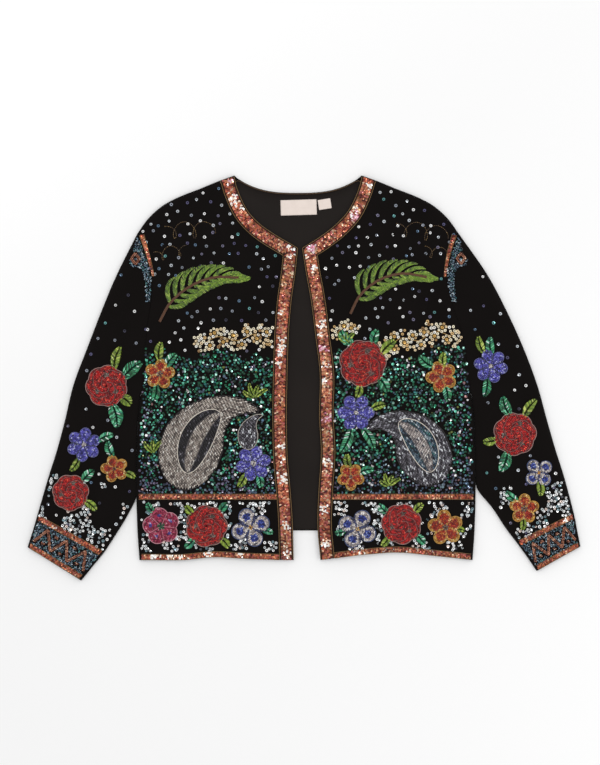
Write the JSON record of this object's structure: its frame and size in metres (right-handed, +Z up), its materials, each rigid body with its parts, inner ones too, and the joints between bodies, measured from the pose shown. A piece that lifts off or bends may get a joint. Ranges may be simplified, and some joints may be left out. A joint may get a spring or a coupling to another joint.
{
  "type": "beaded open-front jacket",
  "caption": "Collarless cropped evening jacket with an open front and wide sleeves, laid flat, beaded and sequinned all over, with copper sequin bands and padded flowers.",
  "frame": {"origin": "middle of the jacket's outline, on the surface that it lies on", "axes": "+X to the right as seen from above, +Y towards the neck, +Z up from the surface"},
  "size_m": [0.83, 0.6079, 0.0114],
  "materials": {
    "black_cloth": "matt black weave scattered with sequins",
    "lining": "smooth charcoal lining with a soft sheen",
    "copper_sequins": "overlapping copper and pink sequins edged in bronze thread",
    "label": "woven off-white satin, blank",
    "blue_beads": "blue-grey seed beads with copper zigzags",
    "silver_beads": "silver-grey bugle beads in rows",
    "pewter_beads": "dark steel bugle beads in rows",
    "red_beads": "red glass beads following the petals",
    "orange_beads": "amber and orange beads in rows",
    "violet_beads": "violet-blue glass beads in rows",
    "pink_beads": "pink and crimson beads in rows"
  },
  "bodies": {
    "root": {"back": "black_cloth", "back_lining": "lining", "label": "label", "size_label": "label", "front_left": "black_cloth", "sleeve_left": "black_cloth", "front_right": "black_cloth", "sleeve_right": "black_cloth", "neckband_left": "copper_sequins", "front_band_left": "copper_sequins", "neckband_right": "copper_sequins", "front_band_right": "copper_sequins", "waist_trim_left": "copper_sequins", "hem_trim_left": "copper_sequins", "waist_trim_right": "copper_sequins", "hem_trim_right": "copper_sequins", "cuff_trim_upper_left": "copper_sequins", "cuff_band_left": "blue_beads", "cuff_trim_lower_left": "copper_sequins", "cuff_trim_upper_right": "copper_sequins", "cuff_band_right": "blue_beads", "cuff_trim_lower_right": "copper_sequins", "shoulder_bar_left": "copper_sequins", "insert_left": "blue_beads", "shoulder_bar_right": "copper_sequins", "insert_right": "blue_beads", "rose_front": "red_beads", "rose_hem_left": "red_beads", "rose_hem_right": "red_beads", "rose_sleeve_left": "red_beads", "rose_cuff_left": "red_beads", "rose_sleeve_right": "red_beads", "blossom_side_left": "orange_beads", "blossom_side_right": "orange_beads", "blossom_hem": "orange_beads", "blossom_waist": "orange_beads", "blossom_sleeve_left": "orange_beads", "blossom_cuff_right": "orange_beads", "aster_front_left": "violet_beads", "aster_front_right": "violet_beads", "aster_sleeve_left": "violet_beads", "aster_sleeve_right": "violet_beads", "bloom_hem_left": "silver_beads", "bloom_hem_right": "silver_beads", "bloom_sleeve_right": "silver_beads", "pink_bloom_hem": "pink_beads", "paisley_left": "silver_beads", "paisley_small_left": "pewter_beads", "paisley_right": "pewter_beads"}
  },
  "joints": []
}
